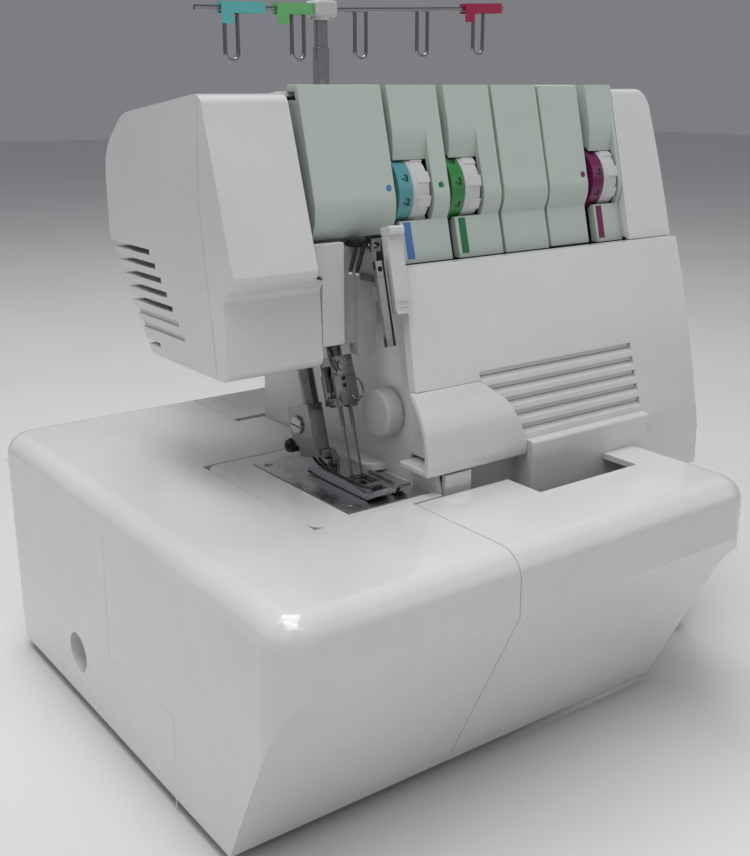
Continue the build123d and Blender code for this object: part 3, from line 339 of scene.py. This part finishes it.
# Edge radius in millimetres by material slot, and nodes whose look isn't that of their slot.
THIN_EDGE = 0.15
EDGE = {"white_gloss": 0.8, "white_matte": 0.5, "panel_green": 1.0, "plate": 0.15,
        "casting": 0.6, "black_plastic": 0.4, "grey_plastic": 0.5, "dark_steel": 0.2,
        "steel": 0.15, "chrome": 0.12, "rubber": 0.6}
OWN_LOOK = {"presser_foot": "foot_steel", "presser_bar": "bar_steel", "needle_bar": "bar_steel",
            "needles": "bar_steel", "clamp_screws": "dark_steel", "guide_wire": "dark_chrome",
            "guide_plate": "dark_chrome", "presser_lifter": "black_plastic",
            "spool_pins": "grey_plastic"}
slot_of = {part["node"]: part["material_slot"] for part in frame["record"]["subparts"]}
for name, piece in nodes.items():
    slot = slot_of[name]
    piece.data.materials.clear()
    piece.data.materials.append(LOOKS[OWN_LOOK.get(name, slot)])
    soften(piece, EDGE.get(slot, THIN_EDGE))


# ---- detail pieces --------------------------------------------------------------------
def add_piece(name, data, look, body):
    """Links a piece, gives it its look, and puts it on its body."""
    piece = bpy.data.objects.new(name, data)
    bpy.context.scene.collection.objects.link(piece)
    data.materials.append(LOOKS[look])
    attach(piece, body)
    return piece


def to_world(matrix):
    """A millimetre frame from the table's corner as a placement in the saved frame."""
    scale = Matrix.Diagonal((0.001, 0.001, 0.001, 1))
    return Matrix.Translation(place(0, 0, 0)) @ scale @ matrix


def boxes(name, items, look, body, edge=0.3):
    """Rounded boxes in one mesh; each item is a frame matrix and a size in millimetres."""
    shape = bmesh.new()
    for matrix, size in items:
        made = bmesh.ops.create_cube(shape, size=1.0)["verts"]
        bmesh.ops.transform(shape, matrix=to_world(matrix) @ Matrix.Diagonal((*size, 1)),
                            verts=made)
    mesh = bpy.data.meshes.new(name)
    shape.to_mesh(mesh)
    shape.free()
    piece = add_piece(name, mesh, look, body)
    soften(piece, edge)
    return piece


def discs(name, items, look, body, edge=0.2):
    """Turned parts in one mesh; each item is a frame matrix, a radius, a depth and a taper."""
    shape = bmesh.new()
    for matrix, radius, depth, taper in items:
        made = bmesh.ops.create_cone(shape, cap_ends=True, segments=40, radius1=radius,
                                     radius2=radius * taper, depth=depth)["verts"]
        bmesh.ops.transform(shape, matrix=to_world(matrix), verts=made)
    mesh = bpy.data.meshes.new(name)
    shape.to_mesh(mesh)
    shape.free()
    piece = add_piece(name, mesh, look, body)
    soften(piece, edge)
    return piece


def wire(name, points, radius, look, body, closed=False):
    """Bent wire through the points."""
    curve = bpy.data.curves.new(name, "CURVE")
    curve.dimensions = "3D"
    curve.bevel_depth = radius / 1000
    curve.bevel_resolution = 4
    curve.use_fill_caps = True
    spline = curve.splines.new("BEZIER")
    spline.bezier_points.add(len(points) - 1)
    spline.use_cyclic_u = closed
    for knot, point in zip(spline.bezier_points, points):
        knot.co = place(*point)
        knot.handle_left_type = knot.handle_right_type = "AUTO"
    return add_piece(name, curve, look, body)


def shift(x, y, z):
    return Matrix.Translation((x, y, z))


def turn(degrees, axis):
    return Matrix.Rotation(math.radians(degrees), 4, axis)


def on_clamp(x, y, s):
    return leaning(x, 108.0, s) @ shift(0, y, 0)


def at(matrix):
    return tuple(matrix.translation)


# Dials: numerals on the printed band and ten raised grips on the white rim.
# Each has its slot, and the angle of its first numeral from the front.
DIAL_LOOKS = {"blue": ("dial_teal", -83), "green": ("dial_green", -57),
              "magenta": ("dial_magenta", -56)}
for colour, (left, width) in DIALS.items():
    slot, start = DIAL_LOOKS[colour]
    body = "dial_" + colour
    grips = []
    for number in range(MARKS):
        angle = start + PITCH * number
        hub = shift(0, DIAL_Y, DIAL_Z) @ turn(-angle, "X")
        grips.append((hub @ shift(left + width - 3.8, -DIAL_R + 0.35, 0), (7.4, 1.5, 5.4)))
        text = bpy.data.curves.new(f"{body}_mark_{number}", "FONT")
        text.body = f"-{number}"
        text.size = 0.0046
        text.extrude = 0.00003
        text.offset = 0.00008
        text.align_x, text.align_y = "CENTER", "CENTER"
        label = add_piece(text.name, text, "black_ink", body)
        face = hub @ shift(left + 4.4, -DIAL_R + 0.18, 0) @ turn(90, "X")
        spot = to_world(face)
        label.matrix_world = (Matrix.Translation(spot.translation)
                              @ spot.to_quaternion().to_matrix().to_4x4())
    boxes(f"{body}_grips", grips, "dial_white", body, 0.55)

# Marks on the panels: a dot beside each dial and a stripe on the flat below it.
DOTS = {"blue": (132.6, 135.6), "green": (163.4, 135.6), "magenta": (258.7, 136.2)}
STRIPES = {"blue": 143.3, "green": 176.8, "magenta": 272.0}
STRIPE_Z, FLAT_DEPTH = 111.2, 4.68  # middle of a stripe, and the flat's depth behind the panel
PANEL_LEAN = math.degrees(math.atan(PANEL_RATE))
for colour, (x, z) in DOTS.items():
    ink = colour + "_ink"
    spot = shift(x, panel_y(z) + 0.01, z) @ turn(90 - PANEL_LEAN, "X")
    discs(f"dot_{colour}", [(spot, 1.6, 0.12, 0.98)], ink, "machine", 0.02)
    strip = (shift(STRIPES[colour], panel_y(STRIPE_Z) + FLAT_DEPTH, STRIPE_Z)
             @ turn(-PANEL_LEAN, "X"))
    boxes(f"stripe_{colour}", [(strip, (4.4, 0.12, 17.0))], ink, "machine", 0.03)

# Needle clamp: guide bracket at the left, thread ring at the right, rim underneath.
boxes("clamp_bracket", [(on_clamp(101.4, -3.4, 50.5), (0.9, 3.2, 12.0)),
                        (on_clamp(100.6, -6.0, 46.4), (1.0, 1.6, 10.0)),
                        (on_clamp(100.9, -4.6, 55.6), (1.6, 4.4, 1.4)),
                        (on_clamp(101.2, -4.6, 42.0), (2.0, 4.0, 1.2))],
      "black_plastic", "needle_drive", 0.3)
wire("clamp_ring", [at(on_clamp(115.6, -5.2, 49.2)), at(on_clamp(117.6, -5.4, 48.2)),
                    at(on_clamp(118.6, -5.6, 45.0)), at(on_clamp(118.2, -5.8, 41.2)),
                    at(on_clamp(115.6, -6.2, 39.6)), at(on_clamp(113.0, -6.6, 40.0)),
                    at(on_clamp(111.4, -6.9, 41.4))], 0.55, "dark_chrome", "needle_drive")
boxes("clamp_rim", [(on_clamp(107.6, -2.4, 37.7), (10.0, 6.6, 1.1)),
                    (on_clamp(112.2, -3.4, 37.2), (4.4, 5.4, 1.8))],
      "dark_chrome", "needle_drive", 0.35)
wire("clamp_eyelet", [at(on_clamp(102.6, -7.6, 60.2)), at(on_clamp(101.6, -8.4, 57.6)),
                      at(on_clamp(102.4, -8.7, 54.2)), at(on_clamp(104.2, -8.4, 53.6)),
                      at(on_clamp(104.6, -8.1, 57.0)), at(on_clamp(104.2, -7.8, 60.0))], 0.45,
     "dark_chrome", "needle_drive", closed=True)

# Presser foot: ribbed release knob behind the shank and the spring along the sole.
barrel = shift(0, 142.0, 12.7) @ turn(90, "Y")
discs("foot_knob", [(shift(93.4 + 1.5 * n, 0, 0) @ barrel, 3.6 if n % 2 else 3.1, 1.5, 1.0)
                    for n in range(4)] + [(shift(92.2, 0, 0) @ barrel, 1.3, 1.4, 1.0)],
      "black_plastic", "presser", 0.25)
wire("foot_spring", [(98.6, 138.6, 12.6), (98.4, 131.0, 11.2), (98.3, 123.0, 7.6),
                     (98.6, 112.0, 6.6), (99.4, 100.0, 5.9), (101.2, 91.0, 5.2),
                     (104.4, 87.2, 4.6)], 0.75, "black_plastic", "foot")
boxes("foot_block", [(shift(106.2, 87.0, 4.4) @ turn(-14, "X"), (4.4, 3.4, 2.6))],
      "black_plastic", "foot", 0.4)
boxes("foot_arm", [(shift(96.4, 139.4, 14.2), (4.0, 6.0, 2.4)),
                   (shift(97.2, 133.6, 15.0), (2.6, 8.0, 1.6))],
      "black_plastic", "presser", 0.5)

# Vent louvres: bright slats set back in the looper cover's grooves.
VENT_TOP, VENT_PITCH = 48.6, 6.9
slats = []
for row in range(5):
    z = VENT_TOP - VENT_PITCH * row
    slats.append((shift(218, front_y(z + 1) + 2.5, z + 1.1) @ turn(-math.degrees(LEAN), "X"),
                  (105, 1.8, 3.4)))
boxes("vent_slats", slats, "white_gloss", "looper_cover", 0.3)

# Fixing screw at the bottom of the well in the table's side.
well = shift(15.4, 198, -94) @ turn(90, "Y")
discs("well_screw", [(well, 7.4, 0.7, 0.94)], "dark_steel", "extension_table", 0.2)

# Faint raised seams moulded in the table's side.
SEAM_POINTS = ((283, -14.5), (154, -15.5), (156.5, -78), (89.5, -76.5), (91.5, -123))
seams = []
for (y0, z0), (y1, z1) in zip(SEAM_POINTS, SEAM_POINTS[1:]):
    run = turn(math.degrees(math.atan2(z1 - z0, y1 - y0)), "X")
    middle = shift(0.05, (y0 + y1) / 2, (z0 + z1) / 2)
    seams.append((middle @ run, (0.4, math.hypot(y1 - y0, z1 - z0) + 0.6, 0.8)))
boxes("side_seams", seams, "white_gloss", "extension_table", 0.18)

# Bright tips of the two thread hooks.
discs("hook_tips", [(shift(106.9, 108.2, 100.2), 0.95, 1.1, 0.7),
                    (shift(110.5, 108.2, 99.4), 0.95, 1.1, 0.7)], "white_matte", "machine", 0.2)

# ---- stage --------------------------------------------------------------------------
floor_mesh = bpy.data.meshes.new("floor")
HALF_FLOOR = 6
floor_mesh.from_pydata([(-HALF_FLOOR, -HALF_FLOOR, 0), (HALF_FLOOR, -HALF_FLOOR, 0),
                        (HALF_FLOOR, HALF_FLOOR, 0), (-HALF_FLOOR, HALF_FLOOR, 0)],
                       [], [(0, 1, 2, 3)])
floor = bpy.data.objects.new("floor", floor_mesh)
bpy.context.scene.collection.objects.link(floor)
ground = Shader("pale floor")
ground.set("Base Color", ground.mix(ground.range(ground.noise(3, 4), 0, 1),
                                    (0.80, 0.80, 0.80, 1), (0.84, 0.84, 0.84, 1)))
ground.set("Roughness", ground.range(ground.noise(8, 3), 0.7, 0.9))
floor_mesh.materials.append(ground.material)

world = bpy.data.worlds.new("studio")
world.use_nodes = True
world.node_tree.nodes["Background"].inputs["Color"].default_value = (0.93, 0.95, 1.0, 1)
world.node_tree.nodes["Background"].inputs["Strength"].default_value = 0.22
bpy.context.scene.world = world


def lamp(name, spot, target, size, power):
    light = bpy.data.lights.new(name, "AREA")
    light.shape = "RECTANGLE"
    light.size, light.size_y = size
    light.energy = power
    holder = bpy.data.objects.new(name, light)
    bpy.context.scene.collection.objects.link(holder)
    holder.location = spot
    holder.rotation_euler = (Vector(target) - Vector(spot)).to_track_quat("-Z", "Y").to_euler()


lamp("ceiling", (-0.15, 0.1, 1.7), (0, 0, 0.1), (1.8, 0.7), 15)
for number, row in enumerate((-0.75, -0.15, 0.55)):
    lamp(f"tube_{number}", (-0.35, row, 1.55), (0, 0, 0.1), (1.1, 0.035), 1.6)
lamp("window", (-1.5, -0.9, 1.3), (0, 0, 0.15), (0.9, 1.2), 2.2)
lamp("fill", (1.3, -1.3, 0.9), (0, 0, 0.15), (1.2, 0.8), 1.6)

camera = bpy.data.cameras.new("camera")
camera.lens = 46.47
camera.sensor_width = 36.0
camera.clip_start = 0.01
viewer = bpy.data.objects.new("camera", camera)
bpy.context.scene.collection.objects.link(viewer)
viewer.location = (-0.3555, -0.4627, 0.305)
CAMERA_DOWN, CAMERA_ROUND = 17.2, 36.3  # degrees below level, and round from the front
viewer.rotation_euler = (math.radians(90 - CAMERA_DOWN), 0, math.radians(-CAMERA_ROUND))
bpy.context.scene.camera = viewer
bpy.context.scene.view_settings.view_transform = "Standard"
